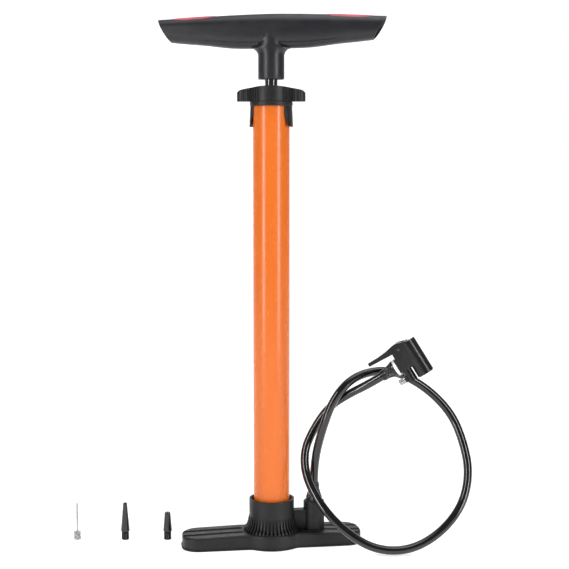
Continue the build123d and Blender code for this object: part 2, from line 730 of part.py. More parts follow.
# ---- loose adaptors -----------------------------------------------------------------------
def threaded_root():
    """(radius, height) points up a threaded stub, crest and root for each turn."""
    root = THREAD_R - THREAD_DEPTH
    points = [(0, 0), (root, 0)]
    turns = int(THREAD_LENGTH / THREAD_PITCH)
    step = THREAD_LENGTH / turns
    for i in range(turns):
        low = i * step
        points += [(THREAD_R, low + 0.3 * step), (THREAD_R, low + 0.5 * step), (root, low + step)]
    return points


def nozzle(total, tip_r, blunt, at):
    body = turned(threaded_root() + [
        (NOZZLE_R, THREAD_LENGTH), (NOZZLE_R, THREAD_LENGTH + 0.4), (tip_r, total - blunt),
        (tip_r - blunt, total), (0, total),
    ])
    return Pos(at[0], at[1], 0) * (body - post(NOZZLE_BORE_R, -1, total + 1))


def ball_needle():
    wide, slim = NEEDLE_BASE_R, NEEDLE_R
    body = turned([
        (0, 0), (wide - 0.35, 0), (wide, 0.4), (wide, 7.6), (wide - 0.45, 8.3), (1.6, 8.3),
        (1.3, 9.6), (slim, 10.2), (slim, 31.0), (slim - 0.2, 31.6), (slim - 0.2, 38.6),
        (slim - 0.5, 39.6), (0, 40.0),
    ])
    for i in range(NEEDLE_NICKS):
        angle = 2 * pi * i / NEEDLE_NICKS
        body -= post(0.4, 1.2, 7.2, (wide + 0.1) * cos(angle), (wide + 0.1) * sin(angle))
    return Pos(NEEDLE_AT[0], NEEDLE_AT[1], 0) * body


# ---- everything, by node name -------------------------------------------------------------
def upright_nodes():
    return {
        "base_foot": base_foot(),
        "barrel_socket": barrel_socket(),
        "hose_port": hose_port(),
        "barrel_gasket": barrel_gasket(),
        "barrel_tube": barrel_tube(),
        "top_collar": top_collar(),
        "screw_cap": screw_cap(),
        "rod_guide": rod_guide(),
        "rod_wiper": rod_wiper(),
        "valve_seat": valve_seat(),
        "check_ball": check_ball(),
        "check_spring": check_spring(),
        "port_washer": port_washer(),
        "hose_barb": hose_barb(),
        "strain_relief": strain_relief(),
        "piston_rod": piston_rod(),
        "handle_body": handle_body(),
        "grip_end_right": grip_end(1),
        "grip_end_left": grip_end(-1),
        "handle_insert": handle_insert(),
        "grip_pad_right": grip_pad(1),
        "grip_pad_left": grip_pad(-1),
        "piston_nut": piston_nut(),
        "piston_lower": piston_lower(),
        "piston_seal": piston_seal(),
        "piston_upper": piston_upper(),
        "stroke_bumper": stroke_bumper(),
        "hose": hose(),
        "ball_needle": ball_needle(),
        "nozzle_long": nozzle(NOZZLE_LONG, 2.15, 0.8, NOZZLE_LONG_AT),
        "nozzle_short": nozzle(NOZZLE_SHORT, 3.05, 0.25, NOZZLE_SHORT_AT),
    }


def head_nodes():
    local = {
        "head_ferrule": head_ferrule(),
        "head_washer": head_washer(),
        "head_barb": head_barb(),
        "head_body": head_body(),
        "grommet_large": grommet_large(),
        "nozzle_cap_large": nozzle_cap_large(),
        "grommet_small": grommet_small(),
        "nozzle_cap_small": nozzle_cap_small(),
        "press_sleeve": press_sleeve(),
        "lever_pin": lever_pin(),
        "thumb_lever": thumb_lever(),
        "bleed_screw": bleed_screw(),
    }
    place = head_plane().location
    return {name: place * shape for name, shape in local.items()}


def report_hose():
    path = hose_path()
    print("hose length", round(path.length, 1), "mm")
    print("bend radii", [round(r) for r in bend_radii()])
    plane = head_plane()
    print("head face", plane.origin, "x", plane.x_dir, "z", plane.z_dir)


os.makedirs("parts", exist_ok=True)
report_hose()
for node, shape in (upright_nodes() | head_nodes()).items():
    export_step(shape, f"parts/{node}.step")
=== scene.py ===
import json
import math

import bmesh
import bpy
from mathutils import Matrix, Vector


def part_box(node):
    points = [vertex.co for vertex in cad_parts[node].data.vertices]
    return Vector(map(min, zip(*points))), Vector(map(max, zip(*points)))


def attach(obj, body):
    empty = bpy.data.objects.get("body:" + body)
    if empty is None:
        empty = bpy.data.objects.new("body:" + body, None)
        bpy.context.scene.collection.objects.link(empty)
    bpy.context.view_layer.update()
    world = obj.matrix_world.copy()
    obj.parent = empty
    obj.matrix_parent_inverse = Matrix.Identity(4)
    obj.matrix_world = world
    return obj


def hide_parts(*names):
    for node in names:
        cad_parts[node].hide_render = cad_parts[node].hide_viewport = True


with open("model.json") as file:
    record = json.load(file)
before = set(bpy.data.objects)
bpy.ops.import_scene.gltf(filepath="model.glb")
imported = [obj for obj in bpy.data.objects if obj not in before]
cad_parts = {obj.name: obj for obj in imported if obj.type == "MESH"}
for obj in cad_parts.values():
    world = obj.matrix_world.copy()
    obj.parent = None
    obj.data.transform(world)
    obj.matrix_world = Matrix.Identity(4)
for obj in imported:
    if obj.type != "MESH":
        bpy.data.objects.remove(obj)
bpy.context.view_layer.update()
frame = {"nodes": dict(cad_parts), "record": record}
NODES = frame["nodes"]

MM = 0.001
TURN = 2 * math.pi
QUARTER = math.pi / 2
TINY = 1e-6

# Camera, in metres and degrees.
CAMERA_PLACE = (-0.1826, -1.330, 0.408)
CAMERA_HEADING = -8.4
CAMERA_TILT = 5.6
SENSOR_WIDTH = 36.0
LENS = 81.6

# Light, in metres and watts. Two tall strips stand at the front corners, under a wide soft top.
WORLD_STRENGTH = 0.12
LIT_POINT = (0.02, 0.0, 0.28)
STRIP_LEFT = (-1.38, -0.9, 0.6)
STRIP_RIGHT = (1.05, -1.26, 0.6)
STRIP_SIZE = (0.22, 1.7)
STRIP_POWER = 21
TOP_PLACE = (0.1, -0.1, 2.2)
TOP_SIZE = (1.7, 1.7)
TOP_POWER = 22

# The paper sweep, in metres, and its painted pool of light: how strongly the paper glows near to and far from
# the pool's middle.
SWEEP_FRONT = -12.0
SWEEP_BEND = 1.6
SWEEP_RADIUS = 0.9
SWEEP_TOP = 6.0
SWEEP_HALF_WIDTH = 12.0
SWEEP_ARC_STEPS = 24
SWEEP_DROP = 0.0003
LIGHT_POOL_MIDDLE = (0.0, 1.0, 0.3)
LIGHT_POOL_NEAR = 1.7
LIGHT_POOL_FAR = 3.0
LIGHT_POOL_STRENGTH_NEAR = 0.55
LIGHT_POOL_STRENGTH_FAR = 0.12

# Most of a noise texture's values lie in this range.
NOISE_LOW = 0.3
NOISE_HIGH = 0.7

# The hose's route, as in the model, in metres.
HOSE_ROUTE = [
    (0.0455, 0, 0.0644),
    (0.0455, 0, 0.085),
    (0.0515, -0.0135, 0.123),
    (0.0645, -0.0165, 0.1595),
    (0.0895, -0.010, 0.181),
    (0.1275, -0.0065, 0.185),
    (0.163, -0.010, 0.1665),
    (0.189, -0.020, 0.140),
    (0.199, -0.0335, 0.112),
    (0.203, -0.046, 0.0805),
    (0.193, -0.058, 0.049),
    (0.1685, -0.064, 0.022),
    (0.136, -0.0665, 0.0055),
    (0.101, -0.0625, 0.0055),
    (0.072, -0.051, 0.021),
    (0.049, -0.0365, 0.0445),
    (0.035, -0.015, 0.0705),
    (0.034, -0.001, 0.097),
    (0.046, 0.005, 0.121),
    (0.0625, 0.003, 0.145),
    (0.081, -0.011, 0.1605),
    (0.098, -0.0223, 0.1712),
    (0.1124, -0.0278, 0.181),
]
HOSE_DIAMETER = 0.009
HOSE_CURVE_STEPS = 16
HOSE_ROUND_STEPS = 7

# The grip, in millimetres along its own length, and its turn about the rod in degrees.
HANDLE_YAW = -18.0
GRIP_HALF = 111.5
GRIP_HALF_TOP = 118.5
GRIP_TOP = 555.1
GRIP_TOP_DROP = 4.7
GRIP_TOP_CURVE = 1.6
GRIP_UNDERSIDE = [
    (0, 519.7), (26, 519.8), (41, 520.2), (54, 521.7), (69, 523.6), (104, 526.4), (130, 528.4),
]
EASE_SPAN = 7.0
EASE_STEPS = 4
GRIP_HALF_DEPTH = 13.4
GRIP_END_NARROWING = 2.4
GRIP_SQUARENESS = 2.25
GRIP_END_SLOPE = 0.585
GRIP_END_MIDDLE = 538.5
GRIP_END_HALF_HEIGHT = 12
GRIP_END_BULGE = 0.9
GRIP_LEAN_POWER = 6
GRIP_WALL = 1.8
GRIP_CORE_DEPTH = 34.0
GRIP_STATIONS = 84
GRIP_STATION_REACH = 0.999
SECTION_STEPS = 24

# The parting step low on the grip's flanks. Its place is the sine of the angle round the section.
STEP_INSET = 2.6
STEP_FOOT = 0.6
STEP_END = 72.0
STEP_FADE = 6
STEP_SINE = 0.6
STEP_FALL = 0.3
STEP_EDGE_ANGLE = 0.012

# The stem, in millimetres.
STEM_R = 13.5
STEM_BORE_R = 6.7
STEM_BORE_TOP = 500
STEM_FOOT = 488.5
STEM_FLARE = 512.0
STEM_FILLET = 8.0
STEM_SINK = 0.3
STEM_EDGE = 0.5
FILLET_STEPS = 12
FILLET_END_SPARE = 0.6
STEM_SIDES = 96

# The red inlays. PAD_RISES pairs each share of the way out to the rim with a share of PAD_PROUD.
PAD_X = 82.0
PAD_HALF_LENGTH = 24.5
PAD_HALF_WIDTH = 7.7
PAD_PROUD = 0.6
PAD_SQUARENESS = 3.2
PAD_SIDES = 72
PAD_RISES = [
    (0.0, 1.0), (0.2, 1.0), (0.4, 0.98), (0.6, 0.94), (0.75, 0.86), (0.87, 0.7), (0.94, 0.5),
    (0.98, 0.2), (1.0, -0.4), (0.98, -1.6),
]

# Barrel, in millimetres.
BARREL_WALL = 1.3
BARREL_EDGE = 0.35
BARREL_SIDES = 160

# Rounded edges of the moulded CAD nodes.
EDGE_WIDTH = 0.35
EDGE_ANGLE = 34
EDGE_STEPS = 2
EDGE_WEIGHT = 80

# The angle, in degrees, over which an edge is shaded as a crease.
GRIP_CREASE = 30
PAD_CREASE = 50
TURNED_CREASE = 40

# Adaptors with a helical screw root, in millimetres.
PATTERN_SIDES = 96
ROOT_LENGTH = 9.4
ROOT_PITCH = 1.1
ROOT_R = 4.15
ROOT_DEPTH = 0.55
ROOT_RUN_IN = 0.6
ROOT_RUN_OUT = 0.5
ROOT_STEPS = 80
ROOT_NECK_R = 3.9
COLLAR_R = 4.7
COLLAR_BULGE = 0.08
TAPER_START = 0.9
TAPER_STEPS = 14
TIP_ROUNDING = 0.3
AIR_HOLE_R = 1.2
AIR_HOLE_DEPTH = 6

# Ball needle, in millimetres.
KNURL_LOW = 0.5
KNURL_HIGH = 7.9
KNURL_R = 4.05
KNURL_DEPTH = 0.5
KNURL_FADE = 0.3
KNURL_COUNT = 20
KNURL_CLIMB = 1.9
KNURL_STEPS = 60
NEEDLE_SIDES = 160
NEEDLE_LENGTH = 40.0
NEEDLE_STEM_R = 1.05
NEEDLE_WAIST_R = 0.86
NEEDLE_TIP_R = 0.95

# Hose ferrules, in millimetres. The bell's heights are shares of its length.
BELL_WIDE = 8.7
BELL_NARROW = 5.2
BELL_BORE_SPARE = 0.05
BELL_MOUTH = 0.14
BELL_FLUTES_END = 0.66
BELL_END = 0.72
BELL_SOCKET_DEPTH = 2.6
BELL_EDGE = 0.35
BELL_STEP = 0.4
BELL_STEP_RISE = 0.2
BELL_END_SPARE = 0.55
BELL_CURVE = 1.2
BELL_STEPS = 12
BELL_SIDES = 144
FLUTE_COUNT = 15
FLUTE_DEPTH = 1.1
FLUTE_WIDTH_POWER = 0.8
FLUTE_RUN_IN = 1.5
FLUTE_RUN_OUT = 2.5
RING_STARTS = (0.25, 1.75)
RING_PROUD = 0.6
GROOVE_DEPTH = 0.1
LIP_START = 3.0
LIP_EDGE = 0.3
RELIEF_LENGTH = 18.4
RELIEF_MOUTH_BORE = 8.05
RELIEF_FOOT = (45.5, 0, 46.0)
FERRULE_LENGTH = 17.5
FERRULE_MOUTH_BORE = 5.0
FERRULE_SETBACK = 0.003
HEAD_ORIGIN_AHEAD = 0.0205


# ---- camera, light and floor --------------------------------------------------------------
def look_camera():
    camera = bpy.data.objects.new("camera", bpy.data.cameras.new("camera"))
    bpy.context.scene.collection.objects.link(camera)
    camera.data.sensor_width = SENSOR_WIDTH
    camera.data.lens = LENS
    camera.location = CAMERA_PLACE
    heading = math.radians(CAMERA_HEADING)
    tilt = math.radians(CAMERA_TILT)
    forward = Vector((
        -math.sin(heading) * math.cos(tilt), math.cos(heading) * math.cos(tilt), -math.sin(tilt),
    ))
    camera.rotation_euler = forward.to_track_quat("-Z", "Y").to_euler()
    bpy.context.scene.camera = camera


def softbox(name, place, size, power):
    """A rectangular soft light that faces the pump."""
    data = bpy.data.lights.new(name, "AREA")
    data.shape = "RECTANGLE"
    data.size, data.size_y = size
    data.energy = power
    lamp = bpy.data.objects.new(name, data)
    lamp.location = place
    lamp.rotation_euler = (Vector(LIT_POINT) - Vector(place)).to_track_quat("-Z", "Y").to_euler()
    bpy.context.scene.collection.objects.link(lamp)


def light_studio():
    world = bpy.data.worlds.new("studio")
    world.use_nodes = True
    sky = world.node_tree.nodes["Background"]
    sky.inputs["Color"].default_value = (1.0, 1.0, 1.0, 1.0)
    sky.inputs["Strength"].default_value = WORLD_STRENGTH
    bpy.context.scene.world = world
    bpy.context.scene.view_settings.view_transform = "Standard"
    softbox("softbox_left", STRIP_LEFT, STRIP_SIZE, STRIP_POWER)
    softbox("softbox_right", STRIP_RIGHT, STRIP_SIZE, STRIP_POWER)
    softbox("softbox_top", TOP_PLACE, TOP_SIZE, TOP_POWER)


def lay_sweep(material):
    """A seamless sheet of pale paper: flat under the pump, curving up into a wall behind it."""
    profile = [(SWEEP_FRONT, 0.0)]
    for k in range(SWEEP_ARC_STEPS + 1):
        turn = QUARTER * k / SWEEP_ARC_STEPS
        profile.append((SWEEP_BEND + SWEEP_RADIUS * math.sin(turn), SWEEP_RADIUS * (1 - math.cos(turn))))
    profile.append((SWEEP_BEND + SWEEP_RADIUS, SWEEP_TOP))
    corners = [(x, y, z) for y, z in profile for x in (-SWEEP_HALF_WIDTH, SWEEP_HALF_WIDTH)]
    faces = [(2 * k, 2 * k + 1, 2 * k + 3, 2 * k + 2) for k in range(len(profile) - 1)]
    mesh = bpy.data.meshes.new("floor")
    mesh.from_pydata(corners, [], faces)
    mesh.shade_smooth()
    mesh.materials.append(material)
    sheet = bpy.data.objects.new("floor", mesh)
    sheet.location.z = -SWEEP_DROP
    bpy.context.scene.collection.objects.link(sheet)


# ---- materials ----------------------------------------------------------------------------
class Surface:
    """A Principled material with helpers for the nodes that feed it. Lengths are in metres."""

    def __init__(self, name):
        self.material = bpy.data.materials.new(name)
        self.material.use_nodes = True
        self.nodes = self.material.node_tree.nodes
        self.links = self.material.node_tree.links
        self.shader = self.nodes["Principled BSDF"]
        self.place = self.nodes.new("ShaderNodeTexCoord").outputs["Object"]
        self.height = None

    def set(self, **values):
        for name, value in values.items():
            self.shader.inputs[name.replace("_", " ")].default_value = value
        return self

    def noise(self, scale, detail, stretch=(1, 1, 1)):
        """Noise with about this many blotches to the metre. An axis stretched under 1 has longer ones."""
        mapping = self.nodes.new("ShaderNodeMapping")
        mapping.inputs["Scale"].default_value = stretch
        self.links.new(self.place, mapping.inputs["Vector"])
        noise = self.nodes.new("ShaderNodeTexNoise")
        noise.inputs["Scale"].default_value = scale
        noise.inputs["Detail"].default_value = detail
        self.links.new(mapping.outputs["Vector"], noise.inputs["Vector"])
        return noise.outputs["Fac"]

    def tones(self, factor, dark, light, start=NOISE_LOW, end=NOISE_HIGH):
        """Base colour that runs from dark to light as the factor goes from start to end."""
        ramp = self.nodes.new("ShaderNodeValToRGB")
        first, last = ramp.color_ramp.elements
        first.position, first.color = start, (*dark, 1)
        last.position, last.color = end, (*light, 1)
        self.links.new(factor, ramp.inputs["Fac"])
        self.links.new(ramp.outputs["Color"], self.shader.inputs["Base Color"])
        return self

    def spread(self, factor, start, end, low, high, target):
        """Feeds a shader input with low to high as the factor goes from start to end."""
        reach = self.nodes.new("ShaderNodeMapRange")
        reach.inputs["From Min"].default_value = start
        reach.inputs["From Max"].default_value = end
        reach.inputs["To Min"].default_value = low
        reach.inputs["To Max"].default_value = high
        self.links.new(factor, reach.inputs["Value"])
        self.links.new(reach.outputs["Result"], self.shader.inputs[target])
        return self

    def roughness(self, factor, low, high):
        return self.spread(factor, NOISE_LOW, NOISE_HIGH, low, high, "Roughness")

    def bump(self, factor, distance, strength=1.0):
        """Adds relief of about this height over any relief already there."""
        bump = self.nodes.new("ShaderNodeBump")
        bump.inputs["Distance"].default_value = distance
        bump.inputs["Strength"].default_value = strength
        self.links.new(factor, bump.inputs["Height"])
        if self.height is not None:
            self.links.new(self.height, bump.inputs["Normal"])
        self.height = bump.outputs["Normal"]
        self.links.new(self.height, self.shader.inputs["Normal"])
        return self


def moulded(name, dark, light, gloss, grain, sheen):
    """Injection-moulded plastic: a fine spark-eroded grain, faint flow marks and uneven sheen."""
    s = Surface(name)
    s.tones(s.noise(scale=45, detail=3, stretch=(1, 1, 2.2)), dark, light)
    s.roughness(s.noise(scale=160, detail=4), low=gloss - 0.05, high=gloss + 0.07)
    s.bump(s.noise(scale=2600, detail=2), distance=grain)
    s.bump(s.noise(scale=70, detail=2), distance=grain * 1.5, strength=0.6)
    return s.set(Specular_IOR_Level=sheen).material


def glossy_moulded(name, colour, gloss, coat):
    """Polished black moulding, with a slight waviness."""
    s = Surface(name)
    lighter = tuple(c * 1.35 + 0.004 for c in colour)
    s.tones(s.noise(scale=60, detail=2), colour, lighter, end=0.75)
    s.roughness(s.noise(scale=220, detail=3), low=gloss - 0.04, high=gloss + 0.06)
    s.bump(s.noise(scale=260, detail=2), distance=0.00003)
    return s.set(Coat_Weight=coat, Coat_Roughness=0.12, Specular_IOR_Level=0.4).material


def orange_paint():
    """Stoved orange enamel on drawn steel tube: orange peel, faint draw lines, a soft gloss."""
    s = Surface("orange_paint")
    s.tones(s.noise(scale=9, detail=3, stretch=(1, 1, 0.25)), (0.64, 0.135, 0.014), (0.69, 0.15, 0.019))
    s.roughness(s.noise(scale=120, detail=3, stretch=(1, 1, 0.3)), low=0.22, high=0.3)
    s.bump(s.noise(scale=420, detail=2), distance=0.000018)
    s.bump(s.noise(scale=240, detail=2, stretch=(1, 1, 0.02)), distance=0.00002, strength=0.7)
    return s.set(Specular_IOR_Level=0.4).material


def rod_coating():
    """Glossy black coating on a drawn rod, with fine lines along it."""
    s = Surface("rod_black")
    streaks = s.noise(scale=80, detail=3, stretch=(1, 1, 0.1))
    s.tones(streaks, (0.012, 0.012, 0.013), (0.022, 0.022, 0.024))
    s.roughness(s.noise(scale=300, detail=3, stretch=(1, 1, 0.05)), low=0.10, high=0.2)
    s.bump(s.noise(scale=900, detail=2, stretch=(1, 1, 0.02)), distance=0.000006)
    return s.set(Coat_Weight=0.8, Coat_Roughness=0.06).material


def hose_skin():
    """Glossy extruded hose: smooth, with slow ripples."""
    s = Surface("hose_black")
    dark, light = (0.004, 0.004, 0.005), (0.008, 0.008, 0.009)
    s.tones(s.noise(scale=140, detail=3), dark, light, start=0.35, end=0.75)
    s.roughness(s.noise(scale=260, detail=3), low=0.08, high=0.14)
    s.bump(s.noise(scale=330, detail=2), distance=0.000015)
    return s.set(Coat_Weight=0.35, Coat_Roughness=0.06).material


def soft_rubber(name, dark, light, rough, grain=0.00004):
    """Fine-grained soft moulding."""
    s = Surface(name)
    s.tones(s.noise(scale=120, detail=3), dark, light)
    s.roughness(s.noise(scale=300, detail=3), low=rough - 0.06, high=rough + 0.08)
    s.bump(s.noise(scale=1800, detail=3), distance=grain)
    return s.set(Sheen_Weight=0.08, Sheen_Roughness=0.5).material


def bright_metal(name, dark, light, low, high, stretch=(1, 1, 1)):
    """Bare turned metal."""
    s = Surface(name)
    s.tones(s.noise(scale=150, detail=3, stretch=stretch), dark, light)
    s.roughness(s.noise(scale=700, detail=3, stretch=stretch), low, high)
    s.bump(s.noise(scale=1500, detail=2, stretch=stretch), distance=0.000008)
    return s.set(Metallic=1.0).material


def white_moulded():
    s = Surface("white_plastic")
    s.tones(s.noise(scale=90, detail=2), (0.80, 0.80, 0.78), (0.88, 0.88, 0.86))
    s.roughness(s.noise(scale=240, detail=3), low=0.3, high=0.42)
    s.bump(s.noise(scale=1500, detail=2), distance=0.00001)
    return s.set(Subsurface_Weight=0.05).material


def floor_paper():
    """White paper with a painted pool of light: it glows round the pump and less further out, as an overlit
    sweep does.
    """
    s = Surface("floor_paper")
    s.tones(s.noise(scale=3, detail=2), (0.83, 0.83, 0.83), (0.85, 0.85, 0.85))
    # Painted pool of light: emission strength falls with distance from the pool's middle.
    pool = s.nodes.new("ShaderNodeVectorMath")
    pool.operation = "DISTANCE"
    pool.inputs[1].default_value = LIGHT_POOL_MIDDLE
    s.links.new(s.place, pool.inputs[0])
    s.spread(
        pool.outputs["Value"], LIGHT_POOL_NEAR, LIGHT_POOL_FAR, LIGHT_POOL_STRENGTH_NEAR, LIGHT_POOL_STRENGTH_FAR,
        "Emission Strength",
    )
    return s.set(Emission_Color=(1, 1, 1, 1), Specular_IOR_Level=0.15, Roughness=0.8).material


MATERIALS = {
    "black_moulding": moulded(
        "black_moulding", dark=(0.007, 0.007, 0.008), light=(0.012, 0.012, 0.0135),
        gloss=0.44, grain=0.00003, sheen=0.3,
    ),
    "handle_plastic": moulded(
        "handle_plastic", dark=(0.009, 0.009, 0.012), light=(0.015, 0.015, 0.018),
        gloss=0.36, grain=0.000025, sheen=0.38,
    ),
    "head_black": glossy_moulded("head_black", (0.004, 0.004, 0.005), gloss=0.28, coat=0.0),
    "gloss_black": glossy_moulded("gloss_black", (0.005, 0.005, 0.006), gloss=0.11, coat=0.4),
    "orange_paint": orange_paint(),
    "rod_black": rod_coating(),
    "hose_black": hose_skin(),
    "soft_black": soft_rubber(
        "soft_black", dark=(0.006, 0.006, 0.007), light=(0.012, 0.012, 0.013), rough=0.26,
    ),
    "seal_rubber": soft_rubber(
        "seal_rubber", dark=(0.010, 0.010, 0.011), light=(0.018, 0.018, 0.019), rough=0.6,
    ),
    "pad_red": soft_rubber(
        "pad_red", dark=(0.46, 0.05, 0.085), light=(0.58, 0.08, 0.12), rough=0.45, grain=0.00005,
    ),
    "white_plastic": white_moulded(),
    "brass": bright_metal("brass", (0.55, 0.36, 0.13), (0.74, 0.53, 0.24), low=0.2, high=0.36),
    "steel": bright_metal(
        "steel", (0.34, 0.34, 0.35), (0.56, 0.56, 0.57), low=0.14, high=0.28, stretch=(1, 1, 0.2),
    ),
}


# ---- mesh tools ---------------------------------------------------------------------------
def as_object(name, bm):
    """A new object from a bmesh in millimetres, shaded smooth, normals outward."""
    bmesh.ops.recalc_face_normals(bm, faces=bm.faces)
    for vertex in bm.verts:
        vertex.co *= MM
    mesh = bpy.data.meshes.new(name)
    bm.to_mesh(mesh)
    bm.free()
    mesh.shade_smooth()
    made = bpy.data.objects.new(name, mesh)
    bpy.context.scene.collection.objects.link(made)
    return made


def creased(piece, degrees):
    piece.data.set_sharp_from_angle(angle=math.radians(degrees))
    return piece


def oval(bm, width, depth, z, sides):
    """A ring of vertices round the axis, by its half width and half depth."""
    return [
        bm.verts.new((width * math.cos(a), depth * math.sin(a), z))
        for a in (TURN * k / sides for k in range(sides))
    ]


def skinned(bm, rings):
    """Joins each ring to the next with quads."""
    for low, high in zip(rings, rings[1:]):
        for k in range(len(low)):
            bm.faces.new((low[k - 1], low[k], high[k], high[k - 1]))


def softened(points, radius):
    """Rounds each corner of a closed (r, z) outline with an arc of up to this radius."""
    steps = 3
    longest_share = 0.42
    rounded = []
    for i, point in enumerate(points):
        here = Vector(point)
        before = Vector(points[i - 1]) - here
        after = Vector(points[(i + 1) % len(points)]) - here
        reach = min(radius, before.length * longest_share, after.length * longest_share)
        start = here + before.normalized() * reach
        end = here + after.normalized() * reach
        for k in range(steps + 1):
            t = k / steps
            rounded.append(tuple(start * (1 - t) ** 2 + here * 2 * t * (1 - t) + end * t ** 2))
    return rounded


def place(piece, body, slot, nodes):
    """Gives a new piece its material and its body, and hides the CAD nodes that it stands for."""
    piece.data.materials.clear()
    piece.data.materials.append(MATERIALS[slot])
    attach(piece, body)
    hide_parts(*nodes)


def add_modifier(piece, kind, **settings):
    modifier = piece.modifiers.new(kind.lower(), kind)
    for name, value in settings.items():
        setattr(modifier, name, value)


def fused(piece, other):
    """Unites two solids into the first one's mesh, and removes the second."""
    add_modifier(piece, "BOOLEAN", operation="UNION", solver="EXACT", object=other)
    graph = bpy.context.evaluated_depsgraph_get()
    graph.update()
    mesh = bpy.data.meshes.new_from_object(piece.evaluated_get(graph))
    piece.modifiers.clear()
    piece.data = mesh
    bpy.data.objects.remove(other)
    return piece


def polish(node):
    """Keeps a CAD node's own mesh, and rounds its edges as moulding does."""
    piece = NODES[node]
    if "custom_normal" in piece.data.attributes:
        piece.data.attributes.remove(piece.data.attributes["custom_normal"])
    piece.data.shade_smooth()
    add_modifier(piece, "WELD", merge_threshold=TINY)
    add_modifier(
        piece, "BEVEL", width=EDGE_WIDTH * MM, segments=EDGE_STEPS, limit_method="ANGLE",
        angle_limit=math.radians(EDGE_ANGLE), use_clamp_overlap=True,
    )
    add_modifier(piece, "WEIGHTED_NORMAL", keep_sharp=True, weight=EDGE_WEIGHT)


# ---- hose ---------------------------------------------------------------------------------
def make_hose():
    data = bpy.data.curves.new("hose_line", "CURVE")
    data.dimensions = "3D"
    spline = data.splines.new("NURBS")
    spline.points.add(len(HOSE_ROUTE) - 1)
    for point, where in zip(spline.points, HOSE_ROUTE):
        point.co = (*where, 1.0)
    spline.order_u = 3
    spline.use_endpoint_u = True
    spline.resolution_u = HOSE_CURVE_STEPS
    data.bevel_depth = HOSE_DIAMETER / 2
    data.bevel_resolution = HOSE_ROUND_STEPS
    data.use_fill_caps = True
    hose = bpy.data.objects.new("hose_line", data)
    bpy.context.scene.collection.objects.link(hose)
    data.materials.append(MATERIALS["hose_black"])
    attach(hose, "pump")
    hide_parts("hose")
    return hose


# ---- grip ---------------------------------------------------------------------------------
def underside(x):
    """Height of the grip's underside, straight between its points."""
    x = abs(x)
    for (x0, z0), (x1, z1) in zip(GRIP_UNDERSIDE, GRIP_UNDERSIDE[1:]):
        if x <= x1:
            return z0 + (z1 - z0) * (x - x0) / (x1 - x0)
    return GRIP_UNDERSIDE[-1][1]


def eased_underside(x):
    """The underside averaged over a span, which rounds its corners."""
    offsets = range(-EASE_STEPS, EASE_STEPS + 1)
    return sum(underside(x + EASE_SPAN * k / EASE_STEPS) for k in offsets) / len(offsets)


def grip_section(x):
    """(height of the middle, half height, half depth) of the grip's section at x."""
    share = abs(x) / GRIP_HALF_TOP
    top = GRIP_TOP - GRIP_TOP_DROP * share ** GRIP_TOP_CURVE
    low = eased_underside(x)
    return (top + low) / 2, (top - low) / 2, GRIP_HALF_DEPTH - GRIP_END_NARROWING * share ** 2


def step_inset(x, fall):
    """How far the grip stands back under its parting step, less and less down the flank."""
    fade = max(0.0, min(1.0, (STEP_END + STEP_FADE / 2 - abs(x)) / STEP_FADE))
    return fade * (STEP_INSET - (STEP_INSET - STEP_FOOT) * min(1.0, fall / STEP_FALL))


def ring_angles():
    """Angles round the section, close together where the parting step is."""
    step = math.asin(STEP_SINE)
    right = [-QUARTER + math.pi * (k + 0.5) / SECTION_STEPS for k in range(SECTION_STEPS)]
    right = sorted(right + [-step + STEP_EDGE_ANGLE, -step - STEP_EDGE_ANGLE])
    left = [math.pi - a for a in reversed(right)]
    return right + left


def section_point(x, angle):
    """The (y, z) of the grip's surface at x and at this angle round its section."""
    middle, half_height, half_depth = grip_section(x)
    power = 2 / GRIP_SQUARENESS
    c, s = math.cos(angle), math.sin(angle)
    depth = half_depth * math.copysign(abs(c) ** power, c)
    height = half_height * math.copysign(abs(s) ** power, s)
    if s < -STEP_SINE:
        depth -= math.copysign(min(abs(depth), step_inset(x, -STEP_SINE - s)), depth)
    return depth, middle + height


def grip_ring(bm, station, scale=1.0, push=0.0):
    """One ring of the grip. Near the ends it leans, so that the mouth is cut obliquely."""
    x0 = station * GRIP_HALF
    lean = abs(station) ** GRIP_LEAN_POWER
    ring = []
    middle = grip_section(x0)[0]
    for angle in ring_angles():
        y, z = section_point(x0, angle)
        z = middle + (z - middle) * scale
        bulge = GRIP_END_BULGE * (1 - ((z - GRIP_END_MIDDLE) / GRIP_END_HALF_HEIGHT) ** 2)
        x = x0 + math.copysign(lean, station) * ((z - GRIP_END_MIDDLE) * GRIP_END_SLOPE + bulge)
        ring.append(bm.verts.new((x - math.copysign(push, station), y * scale, z)))
    return ring


def grip_shell():
    """The grip, with a hollow core in each end."""
    bm = bmesh.new()
    bore = 1 - GRIP_WALL / GRIP_END_HALF_HEIGHT
    # (depth in from the end, scale) of each ring from the core's floor out over the rim.
    mouth = [
        (GRIP_CORE_DEPTH, bore * 0.86), (2.0, bore), (0.3, bore + 0.02), (0.0, bore + 0.06),
        (0.0, 0.96), (0.3, 1.0),
    ]
    rings = [grip_ring(bm, -1.0, scale, push) for push, scale in mouth]
    for k in range(1, GRIP_STATIONS):
        rings.append(grip_ring(bm, math.sin(QUARTER * (2 * k / GRIP_STATIONS - 1) * GRIP_STATION_REACH)))
    rings += [grip_ring(bm, 1.0, scale, push) for push, scale in reversed(mouth)]
    for low, high in zip(rings, rings[1:]):
        for k in range(len(low)):
            bm.faces.new((low[k], low[k - 1], high[k - 1], high[k]))
    bm.faces.new(rings[0])
    bm.faces.new(list(reversed(rings[-1])))
    return as_object("handle_grip", bm)


